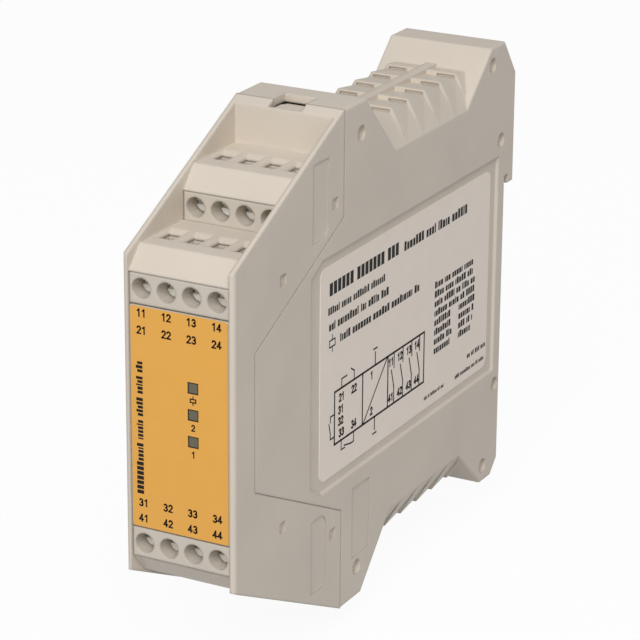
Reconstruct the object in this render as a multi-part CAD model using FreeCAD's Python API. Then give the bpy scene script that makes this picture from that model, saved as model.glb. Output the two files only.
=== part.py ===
import FreeCAD, Part
import math
import os

# Safety relay module for a 35 mm rail, 22.5 mm wide.
# It is laid out in millimetres from its front: x across the width, y the depth
# behind the front edge of the wings, z up from mid-height. The export moves it
# back so that the origin is the middle of the face that seats on the rail.

V = FreeCAD.Vector

# ---- overall case -------------------------------------------------------------
width = 22.5
half_height = 49.5        # top and bottom flats of the shoulders
seat_depth = 110.5        # plane that rests against the rail
hook_reach = 4.0          # the hook stands this far behind that plane
front_drop = 19.5         # wings' front edge below the shoulders
seam_depth = 40.5         # upright part of the seam between the two shells
seam_nose = 7.5           # seam at its foremost
seam_nose_half = 13.2
seam_corner_drop = 20.4
seam_gap = 0.15
shoulder_length = 8.4
valley_half = 36.4
valley_slope = 12.3       # length of the slope from the shoulder down to the valley
hump_slope = 11.1
hump_drop = 3.0           # hump below the shoulders
hump_flat = 6.5
hump_back = 1.4           # rear end of the hump's flat, ahead of the seat plane
rear_slope = 7.3          # drop of the slope behind the hump
foot_chamfer = 3.1
case_wall = 1.6
outer_radius = 0.5
seam_radius = 0.15

# ---- 35 mm rail, its hook and its latch ---------------------------------------
rail_width = 35.0
rail_flange = 1.0
rail_play = 0.2
hook_gap = 1.6            # slot that takes the rail's flange
hook_lip_end = 16.2
hook_overlap = 2.0
hook_root = 1.6
latch_travel = 4.0
latch_overlap = 1.3
latch_width = 10.8
latch_neck = 8.4
latch_flange_depth = 2.1
latch_thickness = 3.7
latch_nose = 2.4
latch_play = 0.2
latch_grip_inset = 2.0    # the grip ends this far above the lower shoulder
latch_window = 4.4
latch_back = 1.2          # wall between the latch's channel and the case
latch_nose_tip = 0.6
latch_nose_back = 0.3     # clearance behind the rail's flange
pry_slot = (4.2, 1.2)     # width and height of the screwdriver slot in the grip
pry_slot_below = 1.0
stop_peg = (3.6, 1.5)     # width and height of the peg that the spring stands on
stop_peg_above = 6.5      # the spring stands this far above the foot
stop_peg_inset = 1.0      # its end stands this far inside the rear face
spring_length = 10.5
spring_wire = 0.45
spring_diameter = 3.3
spring_turns = 5
spring_sides = 14         # straight pieces in each turn

# ---- louvred roofs ------------------------------------------------------------
roof_half = 43.0          # height of each louvre's front edge
roof_flat = 15.0
louvre_step = 1.0
louvre_pitch = 7.0
louvre_start = 4.9        # first louvre, behind the front of the valley
louvre_count = 5
louvre_lip = 0.45
spine_width = 2.0
slot_inner = 3.4
slot_outer = 7.2
slot_height = 0.5
slot_slope = 0.875
slot_reach = 1.8
roof_wall = 1.4

# ---- recesses and holes in the sides --------------------------------------------
label_recess = 0.6
label_recess_edge = 0.5
label_recess_half = 23.1
label_recess_front = 28.0
label_recess_back = 3.1           # its rear end, ahead of the seat plane
label_recess_cut = (4.5, 2.5)     # bevelled corners at the front: along the depth, and the height
dimple_diameter = 2.9
dimple_depth = 0.9
dimple_sides = 12
rear_dimples = [(63.5, 6.2), (7.1, 6.6), (2.3, 23.2)]     # ahead of the seat plane, below the shoulders
field_depth = 0.2
rear_field_depths = (4.5, 11.3)   # behind the seam
rear_field_heights = (8.6, 23.0)  # below the shoulders
wing_field_depths = (6.1, 11.9)   # ahead of the seam
wing_field_heights = (7.5, 22.3)
wing_field_radius = 2.4
wing_pits = [(22.9, 25.7), (3.5, 16.9)]     # ahead of the seam, below the shoulders
pit_size = 2.0
pit_depth = 0.5

# ---- wings and stepped front --------------------------------------------------
wing = 1.05
plate = 1.0
face_recess = 0.4         # terminal faces and cover stand back from the wings
axis_drop = 25.2          # front row of screws below the shoulders
step_up = 9.6             # rear row above front row
step_back = 18.8          # rear row behind front row
face_below = 3.0          # terminal face below and above its screw axis
face_above = 2.8
bevel_depth = 3.8
floor_above = 7.0         # pocket floor above the screw axis
back_wall_ahead = 2.6     # front of the rear pocket's back wall, ahead of the seam
cover_thickness = 1.5
cover_radius = 0.4
step_gap = 0.1            # between the front pocket's floor and the rear terminal face
fit = 0.2
seat_rib = (1.2, 1.4)     # width and depth of the ribs behind the cover
seat_rib_inset = 2.0
hook_arm = (6.0, 0.8)     # width and thickness of the cover's snap arms
catch_front = 4.6         # front of the arm's catch, behind the cover's face
catch_length = 1.4
catch_height = 0.6

# ---- snap between the shells, above and below -----------------------------------
notch_width = 6.8
notch_reach = (2.2, 4.0)  # ahead of the seam, and behind it
tongue_gap = 0.9
tongue_play = 0.15
tongue_end_gap = 0.6
tongue_drop = 1.2
tongue_thickness = 1.2
tongue_ramp = 3.0
tongue_slope = 0.5
tongue_catch = (0.9, 1.2)         # depth of the catch below the tongue, and its length

# ---- terminals ----------------------------------------------------------------
pole_pitch = 5.08
pole_count = 4
funnel_diameter = 3.8
funnel_depth = 3.2
head_diameter = 3.4
head_height = 1.7
screw_slot = (0.7, 0.8)   # width and depth
thread_diameter = 3.0
head_sides = 16           # screw heads and their funnels
thread_sides = 8
thread_play = 0.05
screw_pitch = 0.5
sleeve_travel = 2.5
sleeve_width = 4.1
sleeve_height = 4.4
sleeve_front = 1.2
sleeve_side = 0.5
sleeve_back = 0.8
bar_thickness = 0.7
bar_width = 2.4
bar_clear = 0.2           # gap between the sleeve and the bar that passes below it
bar_tip_inset = 0.3
bar_foot = 1.4
leg_offset = 1.4          # the bar's leg runs beside the middle of its pole
leg_width = 1.0
leg_first = 0.9
leg_pitch = 1.25
wire_space = 2.6
chamber_play = 0.2
block_below = 4.4
block_back = 0.5
block_toe = 0.9           # thicker foot of the block's face, behind the plate
entry_width = 3.0
entry_length = 3.3
entry_mouth = (4.0, 6.3)
entry_slope = 0.5

# ---- boards and components ----------------------------------------------------
board_face = -6.9         # component side, in x
board_thickness = 1.6
board_front = 5.0
board_back = 9.5          # the board ends this far ahead of the seat plane
board_drop = 2.2          # and this far below the valley
pin = 0.7
pin_play = 0.1
pin_tail = 0.8            # length of a pin beyond the board
board_clear = 0.3
guide_play = 0.1
guide_wall = 0.9
guide_depth = 1.3
guide_start = 3.0         # behind the front of the valley
relay_size = (40.0, 16.0, 15.2)   # depth, height and width in the case
relay_back = 38.5         # middle of each relay ahead of the seat plane
relay_spacing = 24.0
relay_pin_rows = 11.2
relay_pin_first = 3.0
relay_pin_steps = (0.0, 12.5, 20.0, 27.5, 34.0)
relay_edge = 0.6
relay_groove = (0.3, 0.2)         # width and depth of the joint round its foot
relay_groove_above = 2.0
component_edge = 0.4
pin_root = 0.5            # length of a pin inside its component
capacitor_ahead = 10.0    # ahead of the relays, as the rectifier
capacitor_drop = 9.9      # below the rear row of screws
capacitor_size = (10.0, 12.5)
capacitor_leads = 5.0
rectifier_size = (8.4, 6.4, 3.3)
rectifier_leads = (5.08, 8.0)
rectifier_lift = 0.4
rectifier_leg_above = 1.2
fuse_place = (24.0, 12.0)
fuse_size = (8.5, 4.0, 8.0)
fuse_leads = 5.08
varistor_place = (24.0, -12.0)
varistor_size = (9.0, 3.6)
varistor_leads = 5.0
varistor_lift = 1.0
chip_ahead = 16.0         # ahead of the relays
chip_heights = (6.5, -6.5)
chip_size = (9.9, 3.9, 1.5)
chip_legs = 8
chip_leg_pitch = 1.27
chip_leg = (0.4, 0.5, 1.0)        # width, thickness and reach
chip_lift = 0.15
chip_edge = 0.3

# ---- label, windows and lamps -----------------------------------------------------
window_size = 2.0
window_x = 2.8
window_pitch = 5.08
window_middle = 2.5
strip_margin = 0.7
strip_thickness = 0.7
label_thickness = 0.15
label_margin = 0.35
label_radius = 0.4
rating_margin = (4.4, 2.8)        # bare strip ahead of and behind the rating label
rating_drop = 2.1                 # and above and below it
rating_radius = 2.0
led_width = 3.4
led_length = 4.4
led_leads = 2.54
led_lead_run = 1.2
led_wire = 0.5

half_width = width / 2
inner = half_width - wing
front_half = half_height - front_drop
seam_corner_half = half_height - seam_corner_drop
hump_half = half_height - hump_drop
hook_depth = seat_depth + hook_reach
hook_shoulder = hump_half - rear_slope
hump_rear = seat_depth - hump_back
hump_front = hump_rear - hump_flat
valley_rear = hump_front - hump_slope
shoulder_end = seam_depth + shoulder_length
valley_front = shoulder_end + valley_slope
louvre_first = valley_front + louvre_start
terminal_axis = half_height - axis_drop
pocket_ends = (face_recess + step_back - step_gap, seam_depth - back_wall_ahead)
cover_half = terminal_axis - face_below - fit
latch_grip_end = half_height - latch_grip_inset
stop_peg_top = hump_half - stop_peg_above
board_rear = seat_depth - board_back
board_half = valley_half - board_drop
relay_centre = (seat_depth - relay_back, relay_spacing / 2)
relay_front = relay_centre[0] - relay_size[0] / 2
capacitor_place = (relay_front - capacitor_ahead, terminal_axis + step_up - capacitor_drop)
rectifier_place = (capacitor_place[0], -capacitor_place[1])
chip_places = [(relay_front - chip_ahead, z) for z in chip_heights]
hook_ceiling = hook_lip_end + hook_overlap
rail_bottom = hook_ceiling - rail_play - rail_width


def box(x_low, x_high, y_low, y_high, z_low, z_high):
    return Part.makeBox(x_high - x_low, y_high - y_low, z_high - z_low, V(x_low, y_low, z_low))


def prism(points, x_low, x_high):
    """Extrude a side view, given as (depth, height) points, across the width."""
    wire = Part.makePolygon([V(x_low, y, z) for y, z in points + points[:1]])
    return Part.Face(wire).extrude(V(x_high - x_low, 0, 0))


def planar(points):
    """Faces that close a ring of points: one if it is flat, or two triangles."""
    normal = (points[1] - points[0]).cross(points[2] - points[0])
    if len(points) == 4 and abs(normal.dot(points[3] - points[0])) > 1e-6 * normal.Length:
        return planar(points[:3]) + planar([points[0], points[2], points[3]])
    return [Part.Face(Part.makePolygon(points + points[:1]))]


def skin(outlines):
    """Solid with flat faces through outlines that have the same number of corners."""
    faces = planar(outlines[0]) + planar(outlines[-1])
    for first, second in zip(outlines, outlines[1:]):
        for i in range(len(first)):
            j = (i + 1) % len(first)
            corners = [first[i], first[j], second[j], second[i]]
            if (first[i] - second[i]).Length < 1e-9:
                corners = corners[:3]
            elif (first[j] - second[j]).Length < 1e-9:
                corners = [first[i], first[j], second[i]]
            faces += planar(corners)
    solid = Part.makeSolid(Part.makeShell(faces))
    if solid.Volume < 0:
        solid.reverse()
    return solid


def round_prism(diameter, start, along, sides, hole=False):
    """Many-sided prism from start along a vector, for small rounds that repeat many times.

    It lies inside the circle of that diameter, or for a hole outside it.
    """
    radius = diameter / 2
    if hole:
        radius /= math.cos(math.pi / sides)
    axis = V(along).normalize()
    first = V(0, 0, 1)
    second = axis.cross(first)
    angles = [2 * math.pi * i / sides for i in range(sides)]
    points = [start + first * (radius * math.cos(a)) + second * (radius * math.sin(a)) for a in angles]
    return Part.Face(Part.makePolygon(points + points[:1])).extrude(along)


def upside_down(shape):
    return shape.mirror(V(0, 0, 0), V(0, 0, 1))


def left_hand(shape):
    return shape.mirror(V(0, 0, 0), V(1, 0, 0))


def fuse(shapes):
    shapes = list(shapes)
    return shapes[0].multiFuse(shapes[1:]).removeSplitter()


def cut(shape, tools):
    return shape.cut(list(tools))


def mirrored_points(points):
    """The same points below mid-height, in the opposite order."""
    return [(y, -z) for y, z in reversed(points)]


# ---- side views ---------------------------------------------------------------

def seam_points(shift=0.0):
    """Seam between the shells in side view, from the top down."""
    top = [(seam_depth + shift, half_height), (seam_depth + shift, seam_corner_half),
           (seam_nose + shift, seam_nose_half)]
    return top + mirrored_points(top)


def rear_top_points():
    """Upper edge of the rear shell, from the seam to the hump."""
    return [(shoulder_end, half_height), (valley_front, valley_half),
            (valley_rear, valley_half), (hump_front, hump_half)]


def hook_points():
    """Hook over the rail, from its lip forward to the seat."""
    lip_front = seat_depth + hook_gap
    return [(hook_depth, hook_lip_end), (lip_front, hook_lip_end), (lip_front, hook_ceiling),
            (seat_depth, hook_ceiling)]


def hook_root_points():
    """The same corners without the lip."""
    return [(hook_depth, hook_ceiling + hook_root), (seat_depth, hook_ceiling + hook_root)]


def shell_edge_points(hook):
    """Edge of the rear shell, over the valley, down the back with that hook, and back below."""
    back = [(hump_rear, hump_half), (hook_depth, hook_shoulder)] + hook
    back += [(seat_depth, foot_chamfer - hump_half), (seat_depth - foot_chamfer, -hump_half)]
    return rear_top_points() + back + mirrored_points(rear_top_points())


# ---- rear shell ---------------------------------------------------------------

def rounded_sides(solid, radius, keep):
    """Round the edges that lie in the side planes and that keep(y, z) picks."""
    edges = []
    for edge in solid.Edges:
        middle = edge.CenterOfMass
        if abs(abs(middle.x) - half_width) < 1e-6 and keep(middle.y, middle.z):
            edges.append(edge)
    return solid.makeFillet(radius, edges)


def louvre_section(y, top):
    """Cross-section of the roof at depth y: a flat with a slope down to each side wall."""
    low = valley_half - case_wall
    right = [(half_width, low), (half_width, valley_half), (roof_flat / 2, top)]
    left = [(-x, z) for x, z in reversed(right)]
    return [V(x, y, z) for x, z in right + left]


def roof():
    """Lapped louvres over the upper valley, with a flat spine along the middle."""
    low = roof_half - louvre_step
    start = shoulder_end + (valley_front - shoulder_end) / 2
    end = (valley_rear + hump_rear) / 2
    stations = [louvre_first + i * louvre_pitch for i in range(louvre_count)] + [end]
    pieces = [skin([louvre_section(start, low), louvre_section(stations[0], low)])]
    for front, back in zip(stations, stations[1:]):
        tail = roof_half - louvre_step * min(1.0, (back - front) / louvre_pitch)
        pieces.append(skin([louvre_section(front, roof_half), louvre_section(back, tail)]))
    spine_top = roof_half - louvre_step / 2
    pieces.append(box(-spine_width / 2, spine_width / 2, start, end, valley_half, spine_top))
    return pieces


def vent_slots():
    """One slanted slot on each side of the spine, under every louvre's front edge."""
    slots = []
    reach = slot_reach
    for i in range(louvre_count):
        y = louvre_first + i * louvre_pitch
        top = roof_half - louvre_lip
        points = [(y + dy, top - drop - slot_slope * dy)
                  for dy, drop in ((-reach, 0), (reach, 0), (reach, slot_height), (-reach, slot_height))]
        slot = prism(points, slot_inner, slot_outer)
        slots += [slot, left_hand(slot)]
    return slots


def roof_hollow():
    """Space under the roof, open to the inside of the case."""
    side = half_width - case_wall
    low = valley_half - 3 * case_wall
    crown = roof_half - louvre_step - roof_wall
    slope = (half_width - roof_flat / 2) / (roof_half - valley_half)
    flat = side - slope * (crown - valley_half + case_wall)
    points = [(side, low), (side, valley_half - case_wall), (flat, crown)]
    points += [(-x, z) for x, z in reversed(points)]
    rise = crown - valley_half
    start = valley_front - rise * (valley_front - shoulder_end) / (half_height - valley_half) - 3.0
    end = valley_rear + rise * (hump_front - valley_rear) / (hump_half - valley_half) + 3.0
    wire = Part.makePolygon([V(x, start, z) for x, z in points + points[:1]])
    return Part.Face(wire).extrude(V(0, end - start, 0))


def latch_channel_back():
    return seat_depth - latch_thickness - latch_play


def case_hollow():
    """Inside of the case: its outline set in by the wall, less the latch's corner."""
    outline = [(0, -front_half), (0, front_half), (seam_depth, half_height)]
    outline += shell_edge_points(hook_root_points())
    outline += [(seam_depth, -half_height)]
    wire = Part.makePolygon([V(0, y, z) for y, z in outline + outline[:1]])
    face = Part.Face(wire).makeOffset2D(-case_wall, 2)
    side = half_width - case_wall
    hollow = face.extrude(V(2 * side, 0, 0))
    hollow.translate(V(-side, 0, 0))
    corner_half = latch_width / 2 + latch_play + latch_back
    corner = box(-corner_half, corner_half, latch_channel_back() - latch_back, hook_depth,
                 -half_height, rail_bottom + rail_play + latch_back)
    return hollow.cut(corner)


def latch_channel():
    """T-shaped way for the latch, open at the back and below."""
    top = rail_bottom + rail_play
    wide = latch_width / 2 + latch_play
    neck = latch_neck / 2 + latch_play
    back = latch_channel_back()
    flange_end = back + latch_flange_depth + 2 * latch_play
    return [box(-wide, wide, back, flange_end, -half_height, top),
            box(-neck, neck, flange_end, hook_depth, -half_height, top)]


def stop():
    """Peg that stands in the latch's window and carries the spring."""
    peg_width, peg_height = stop_peg
    return box(-peg_width / 2, peg_width / 2, latch_channel_back() - latch_play, seat_depth - stop_peg_inset,
               -stop_peg_top - peg_height, -stop_peg_top)


def side_recess():
    """Shallow field with sloped edges for the rating label, on the right side."""
    cut_depth, cut_height = label_recess_cut
    rear = seat_depth - label_recess_back
    outline = [(label_recess_front, label_recess_half - cut_height),
               (label_recess_front + cut_depth, label_recess_half), (rear, label_recess_half)]
    outline += mirrored_points(outline)
    corners = [V(half_width, y, z) for y, z in outline]
    floor = Part.Face(Part.makePolygon(corners + corners[:1])).makeOffset2D(-label_recess_edge, 2)
    low = [min(floor.Vertexes, key=lambda v: v.Point.distanceToPoint(c)).Point - V(label_recess, 0, 0)
           for c in corners]
    return skin([low, corners])


def side_dimples():
    """Round blind holes in the right side, above and below."""
    pits = []
    for ahead, below in rear_dimples:
        for height in (half_height - below, below - half_height):
            start = V(half_width, seat_depth - ahead, height)
            pits.append(round_prism(dimple_diameter, start, V(-dimple_depth, 0, 0), dimple_sides, hole=True))
    return pits


def snap_notch():
    """Opening in the rear shell's front edge that takes the front shell's tongue."""
    return box(-notch_width / 2, notch_width / 2, 0, seam_depth + notch_reach[1],
               half_height - 2 * case_wall, half_height)


def board_guides():
    """Two ribs that hold the upper edge of the board, along the left wall."""
    low = board_half - guide_depth
    first = board_face - board_thickness - guide_play
    second = board_face + guide_play
    outer_x = -half_width + case_wall / 2
    front = valley_front + guide_start
    high = roof_half - louvre_step - roof_wall / 2
    return [box(outer_x, first, front, valley_rear, low, valley_half + case_wall / 2),
            box(second, second + guide_wall, front, valley_rear, low, high)]


def rear_field():
    """Shallow bare field on the lower part of the rear shell's side."""
    front, rear = rear_field_depths
    low, high = rear_field_heights
    return box(half_width - field_depth, half_width, seam_depth + front, seam_depth + rear,
               low - half_height, high - half_height)


def rear_housing():
    outline = seam_points()[:1] + shell_edge_points(hook_points()) + seam_points()[1:][::-1]
    body = prism(outline, -half_width, half_width)

    def outer(y, z):
        on_seam = y < seam_depth + 0.1
        on_valley = abs(abs(z) - valley_half) < 0.1
        in_slot = seat_depth + 0.1 < y < seat_depth + hook_gap + 0.1 and z < hook_ceiling + 0.1
        return not on_seam and not on_valley and not in_slot

    body = rounded_sides(body, outer_radius, outer)
    upper = roof()
    body = fuse([body] + upper + [upside_down(piece) for piece in upper])
    slots = vent_slots()
    hollows = [case_hollow(), roof_hollow(), upside_down(roof_hollow())]
    openings = slots + [upside_down(slot) for slot in slots]
    marks = [side_recess(), rear_field()] + side_dimples()
    marks += [left_hand(mark) for mark in marks]
    body = cut(body, hollows)
    guides = board_guides()
    body = fuse([body] + guides + [upside_down(rib) for rib in guides])
    body = cut(body, openings + latch_channel() + marks + [snap_notch(), upside_down(snap_notch())])
    return fuse([body, stop()])


# ---- front shell --------------------------------------------------------------

def wing_plate():
    """Right-hand wing: the side of the front shell, in front of the seam."""
    outline = [(0, -front_half), (0, front_half)] + seam_points(-seam_gap)
    plate_solid = prism(outline, inner, half_width)
    front_edge = [e for e in plate_solid.Edges
                  if abs(e.CenterOfMass.y) < 1e-6 and abs(e.CenterOfMass.x - half_width) < 1e-6]
    return plate_solid.makeFillet(wing * 0.8, front_edge)


def step_plate(y, axis, end):
    """Bevel and pocket floor over one row of terminals, back to the depth of its end."""
    low = axis + face_above
    floor = axis + floor_above
    rise = floor - low
    slope = rise / bevel_depth
    outer = [(y, low), (y + bevel_depth, floor), (end, floor)]
    lean = plate * math.sqrt(1 + slope * slope) / slope
    under = [(end, floor - plate), (y + lean + bevel_depth - plate / slope, floor - plate), (y + lean, low)]
    return prism(outer + under, -inner, inner)


def back_wall():
    """Upright wall behind the rear pocket and the sloped band on top of it."""
    floor = terminal_axis + step_up + floor_above
    front = pocket_ends[1]
    slope = (half_height - front_half) / (seam_depth - seam_gap)
    top = front_half + slope * front
    seam = seam_depth - seam_gap
    return prism([(front, floor - plate), (front, top), (seam, half_height),
                  (seam, half_height - case_wall), (front + case_wall, top - case_wall),
                  (front + case_wall, floor - plate)], -inner, inner)


def tongue():
    """Snap tongue of the front shell, in the rear shell's notch."""
    left = -notch_width / 2 + tongue_gap
    right = notch_width / 2 - tongue_play
    top = half_height - tongue_drop
    low = top - tongue_thickness
    start = pocket_ends[1]
    end = seam_depth + notch_reach[1] - tongue_end_gap
    catch_drop, catch_length = tongue_catch
    return prism([(start, low), (start + tongue_ramp, top), (end, top - tongue_slope),
                  (end, low - catch_drop), (end - catch_length, low - catch_drop),
                  (end - catch_length, low)], left, right)


def wire_entry(x, y, floor):
    """Tapered mouth and straight hole for one conductor, in a pocket's floor."""
    def rectangle(size, z):
        wide, long = size
        corners = [(-wide / 2, -long / 2), (wide / 2, -long / 2), (wide / 2, long / 2), (-wide / 2, long / 2)]
        return [V(x + dx, y + dy, z) for dx, dy in corners]
    hole = (entry_width, entry_length)
    mouth = skin([rectangle(hole, floor - entry_slope), rectangle(entry_mouth, floor)])
    shaft = box(x - entry_width / 2, x + entry_width / 2, y - entry_length / 2, y + entry_length / 2,
                floor - 2 * plate, floor - entry_slope)
    return mouth.fuse(shaft)


def poles():
    return [(i - (pole_count - 1) / 2) * pole_pitch for i in range(pole_count)]


def bar_depth():
    """Depth behind the terminal's face of the bar that the screws press on."""
    open_front = funnel_depth + head_height + chamber_play + sleeve_travel + sleeve_front
    return open_front + thread_play


def entry_depth():
    return bar_depth() + bar_thickness + wire_space - entry_length / 2


def rows():
    """(depth of the face, height of the screws) of the two upper rows."""
    return [(face_recess, terminal_axis), (face_recess + step_back, terminal_axis + step_up)]


def cover_back():
    return face_recess + cover_thickness


def cover_seat():
    """Rib along the right-hand wing that the front cover rests on."""
    rib_width, rib_depth = seat_rib
    back = cover_back()
    end = cover_half - seat_rib_inset
    return box(inner - rib_width, inner, back, back + rib_depth, -end, end)


def wing_marks():
    """Square pits and bare fields in the right-hand wing."""
    marks = []
    for ahead, below in wing_pits:
        y = seam_depth - ahead
        for height in (half_height - below, below - half_height):
            marks.append(box(half_width - pit_depth, half_width, y - pit_size / 2, y + pit_size / 2,
                             height - pit_size / 2, height + pit_size / 2))
    front, rear = [seam_depth - ahead for ahead in reversed(wing_field_depths)]
    low, high = [half_height - below for below in reversed(wing_field_heights)]
    field = box(half_width - field_depth, half_width, front, rear, low, high)
    corner = [e for e in field.Edges
              if abs(e.CenterOfMass.y - rear) < 1e-6 and abs(e.CenterOfMass.z - low) < 1e-6]
    field = field.makeFillet(wing_field_radius, corner)
    return marks + [field, upside_down(field)]


def front_housing():
    steps = []
    entries = []
    for (y, axis), end in zip(rows(), pocket_ends):
        steps.append(step_plate(y, axis, end))
        entries += [wire_entry(x, y + entry_depth(), axis + floor_above) for x in poles()]
    upper = steps + [back_wall(), tongue()]
    right = [wing_plate(), cover_seat()]
    left = [left_hand(piece) for piece in right]
    body = fuse(right + left + upper + [upside_down(piece) for piece in upper])
    marks = wing_marks()
    cuts = entries + [upside_down(entry) for entry in entries] + marks + [left_hand(mark) for mark in marks]
    front, rear = seam_depth - notch_reach[0], seam_depth + notch_reach[1]
    dark_slot = box(-notch_width / 2, -notch_width / 2 + tongue_gap, front, rear,
                    half_height - 2 * case_wall, half_height)
    notch = box(-notch_width / 2, notch_width / 2, front, rear, half_height - tongue_drop, half_height)
    cuts += [dark_slot, notch, upside_down(dark_slot), upside_down(notch)]
    return cut(body, cuts)


# ---- front cover, label and windows -------------------------------------------

def window_heights():
    return [window_middle + k * window_pitch for k in (1, 0, -1)]


def window_holes(size, y_low, y_high):
    half = size / 2
    return [box(window_x - half, window_x + half, y_low, y_high, z - half, z + half)
            for z in window_heights()]


def rounded_plate(x_half, z_low, z_high, y_low, y_high, radius):
    solid = box(-x_half, x_half, y_low, y_high, z_low, z_high)
    corners = [e for e in solid.Edges if abs(e.tangentAt(e.FirstParameter).y) > 0.9]
    return solid.makeFillet(radius, corners)


def front_cover():
    """Plate between the terminal rows; two arms behind it catch in the front terminal blocks."""
    x_half = inner - fit / 2
    solid = rounded_plate(x_half, -cover_half, cover_half, face_recess, cover_back(), cover_radius)
    arm_width, arm_thickness = hook_arm
    top = terminal_axis - block_below - fit
    catch = face_recess + catch_front
    arm = prism([(face_recess, top - arm_thickness), (catch + catch_length, top - arm_thickness),
                 (catch + catch_length, top), (catch + fit, top + catch_height),
                 (catch, top + catch_height), (catch, top), (face_recess, top)],
                -arm_width / 2, arm_width / 2)
    solid = fuse([solid, arm, upside_down(arm)])
    return cut(solid, window_holes(window_size + fit, 0, cover_back()))


def front_label():
    margin = label_margin
    solid = rounded_plate(inner - fit / 2 - margin, -cover_half + margin, cover_half - margin,
                          face_recess - label_thickness, face_recess, label_radius)
    return cut(solid, window_holes(window_size, 0, face_recess))


def window_strip():
    """One clear moulding: three window blocks on a strip behind the cover."""
    back = cover_back()
    heights = window_heights()
    margin = window_size / 2 + strip_margin
    strip = box(window_x - margin, window_x + margin, back, back + strip_thickness,
                min(heights) - margin, max(heights) + margin)
    return fuse([strip] + window_holes(window_size - fit / 2, face_recess - label_thickness / 2, back))


def rating_label():
    """Printed label in the recess of the right-hand side."""
    outer_x = half_width - label_recess
    front = label_recess_front + rating_margin[0]
    rear = seat_depth - label_recess_back - rating_margin[1]
    half = label_recess_half - rating_drop
    solid = box(outer_x, outer_x + label_thickness, front, rear, -half, half)
    corners = [e for e in solid.Edges if abs(e.tangentAt(e.FirstParameter).x) > 0.9]
    return solid.makeFillet(rating_radius, corners)


# ---- terminals ----------------------------------------------------------------

def chamber():
    """Depths of the sleeve's chamber behind the terminal's face."""
    front = funnel_depth + head_height + thread_play
    back = bar_depth() + bar_thickness + wire_space + sleeve_back + chamber_play
    return front, back


def block_back_depth():
    return chamber()[1] + block_back


def bar_low():
    return sleeve_height / 2 + chamber_play + bar_clear


def terminal_block(y, axis):
    """Four-pole insert: screw funnels in front, sleeve chambers behind them."""
    half = inner - fit
    rise = floor_above - face_above
    slack = (plate + fit) * math.sqrt(1 + (bevel_depth / rise) ** 2)
    top = floor_above - plate - fit / 2
    bevel_end = slack + (top - face_above) * bevel_depth / rise
    toe = plate + block_toe
    outline = [(0, -face_below + fit / 2), (0, face_above - fit / 2), (slack, face_above - fit / 2),
               (bevel_end, top), (block_back_depth(), top), (block_back_depth(), -block_below),
               (toe, -block_below), (toe, -face_below + fit / 2)]
    body = prism([(y + dy, axis + dz) for dy, dz in outline], -half, half)
    front, back = chamber()
    cuts = []
    for x in poles():
        side = sleeve_width / 2 + chamber_play
        high = sleeve_height / 2 + chamber_play
        cuts.append(round_prism(funnel_diameter, V(x, y - 1, axis), V(0, front + 1, 0), head_sides,
                                hole=True))
        cuts.append(box(x - side, x + side, y + front, y + back, axis - high, axis + high))
        entry = y + entry_depth()
        cuts.append(box(x - entry_width / 2, x + entry_width / 2, entry - entry_length / 2,
                        entry + entry_length / 2, axis, axis + floor_above))
        cuts.append(box(x - bar_width / 2 - fit, x + leg_offset + leg_width / 2 + fit, y + bar_depth() - fit,
                        y + block_back_depth(), axis - bar_low() - bar_thickness - fit, axis))
    arm_width = hook_arm[0]
    cuts.append(box(-arm_width / 2 - fit, arm_width / 2 + fit, y + catch_front - fit,
                    y + catch_front + catch_length + fit,
                    axis - block_below, axis - block_below + catch_height))
    return cut(body, cuts)


def terminal_screw(x, y, axis):
    """Slotted cheese-head screw; its head stands at the bottom of the funnel."""
    head_end = y + funnel_depth + head_height
    head = round_prism(head_diameter, V(x, y + funnel_depth, axis), V(0, head_height, 0), head_sides)
    shank_length = bar_depth() - thread_play - funnel_depth - head_height
    shank = round_prism(thread_diameter, V(x, head_end, axis), V(0, shank_length, 0), thread_sides)
    slot_width, slot_depth = screw_slot
    slot = box(x - head_diameter / 2, x + head_diameter / 2, y, y + funnel_depth + slot_depth,
               axis - slot_width / 2, axis + slot_width / 2)
    return cut(fuse([head, shank]), [slot])


def clamp_sleeve(x, y, axis):
    """Open sleeve: threaded wall in front, conductor space behind the bar."""
    back = y + bar_depth() + bar_thickness + wire_space
    front = y + bar_depth() - thread_play - sleeve_front
    half = sleeve_width / 2
    high = sleeve_height / 2
    body = box(x - half, x + half, front, back + sleeve_back, axis - high, axis + high)
    window = box(x - half + sleeve_side, x + half - sleeve_side, front + sleeve_front, back,
                 axis - high, axis + high)
    thread = round_prism(thread_diameter + 2 * thread_play, V(x, front, axis),
                         V(0, sleeve_front, 0), thread_sides, hole=True)
    return cut(body, [window, thread])


def leg_depth(index):
    return block_back_depth() + leg_first + index * leg_pitch


def contact_bar(index, y, axis):
    """Bent strip from the clamp under the sleeve and back, then across to the board."""
    x = poles()[index]
    low = axis - bar_low() - bar_thickness
    front = y + bar_depth()
    tip = box(x - bar_width / 2, x + bar_width / 2, front, front + bar_thickness, low,
              axis + sleeve_height / 2 - bar_tip_inset)
    turn = y + leg_depth(index)
    foot = box(x - bar_width / 2, x + leg_offset + leg_width / 2, front, front + bar_foot,
               low, low + bar_thickness)
    leg = box(x + leg_offset - leg_width / 2, x + leg_offset + leg_width / 2, front, turn + pin / 2,
              low, low + bar_thickness)
    across = box(board_face, x + leg_offset + leg_width / 2, turn - pin / 2, turn + pin / 2,
                 low, low + bar_thickness)
    end = board_face - board_thickness - pin_tail
    tail = box(end, board_face, turn - pin / 2, turn + pin / 2, low, low + bar_thickness)
    return fuse([tip, foot, leg, across, tail])


def bar_pins():
    """(depth, height) of every contact bar's pin in the board."""
    places = []
    for y, axis in rows():
        height = axis - bar_low() - bar_thickness / 2
        places += [(y + leg_depth(i), height) for i in range(pole_count)]
    return places + [(y, -z) for y, z in places]


# ---- board and its components -------------------------------------------------

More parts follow.
